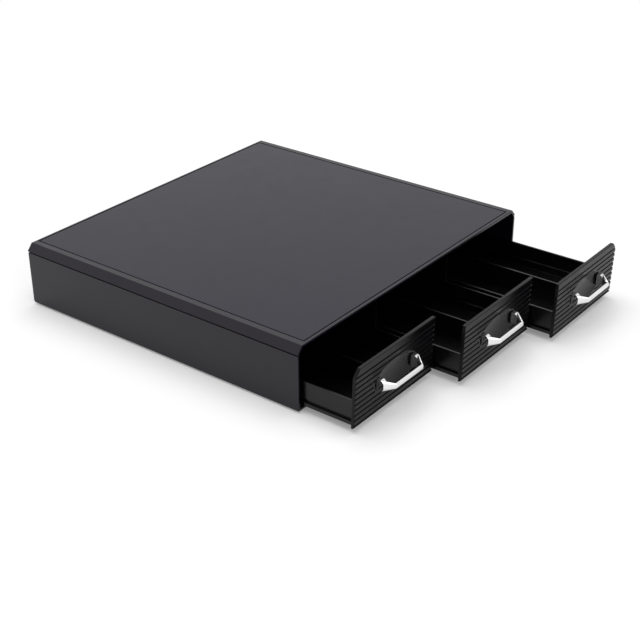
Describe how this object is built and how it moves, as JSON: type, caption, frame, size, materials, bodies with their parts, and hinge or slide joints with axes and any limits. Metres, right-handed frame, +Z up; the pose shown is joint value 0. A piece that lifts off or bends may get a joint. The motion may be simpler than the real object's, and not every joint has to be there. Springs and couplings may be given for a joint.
{
  "type": "coffee pod drawer",
  "caption": "Low black drawer cabinet for coffee pods, with ribbed fronts, chromed bow handles and low lengthwise divided trays that slide out.",
  "frame": {"origin": "on the worktop, under the middle of the whole cabinet's bounding box with the drawers as stored", "axes": "+Z up, the drawer fronts face -Y and the drawers pull out along -Y, +X to the right seen from the front"},
  "size_m": [0.345, 0.4432, 0.062],
  "materials": {
    "case_plastic": "satin, finely textured",
    "inlay_plastic": "fine matt texture",
    "inner_plastic": "satin",
    "front_plastic": "satin",
    "handle_chrome": "bright chrome plate",
    "foot_rubber": "matt",
    "screw_steel": "zinc plated"
  },
  "bodies": {
    "cabinet": {"top_cover": "case_plastic", "top_inlay": "inlay_plastic", "left_side_panel": "case_plastic", "right_side_panel": "case_plastic", "back_panel": "case_plastic", "base_plate": "case_plastic", "partition_left": "inner_plastic", "partition_right": "inner_plastic", "rubber_feet": "foot_rubber", "back_panel_screws": "screw_steel"},
    "drawer_left": {"tray_left": "inner_plastic", "front_left": "front_plastic", "handle_left": "handle_chrome", "handle_screws_left": "screw_steel", "lane_divider_left": "inner_plastic"},
    "drawer_middle": {"tray_middle": "inner_plastic", "front_middle": "front_plastic", "handle_middle": "handle_chrome", "handle_screws_middle": "screw_steel", "lane_divider_middle": "inner_plastic"},
    "drawer_right": {"tray_right": "inner_plastic", "front_right": "front_plastic", "handle_right": "handle_chrome", "handle_screws_right": "screw_steel", "lane_divider_right": "inner_plastic"}
  },
  "joints": [
    {"name": "drawer_left_slide", "type": "slide", "parent": "cabinet", "child": "drawer_left", "axis": [0, -1, 0], "range_m": [-0.0556, 0.1861]},
    {"name": "drawer_middle_slide", "type": "slide", "parent": "cabinet", "child": "drawer_middle", "axis": [0, -1, 0], "range_m": [-0.0847, 0.157]},
    {"name": "drawer_right_slide", "type": "slide", "parent": "cabinet", "child": "drawer_right", "axis": [0, -1, 0], "range_m": [-0.11, 0.1317]}
  ]
}
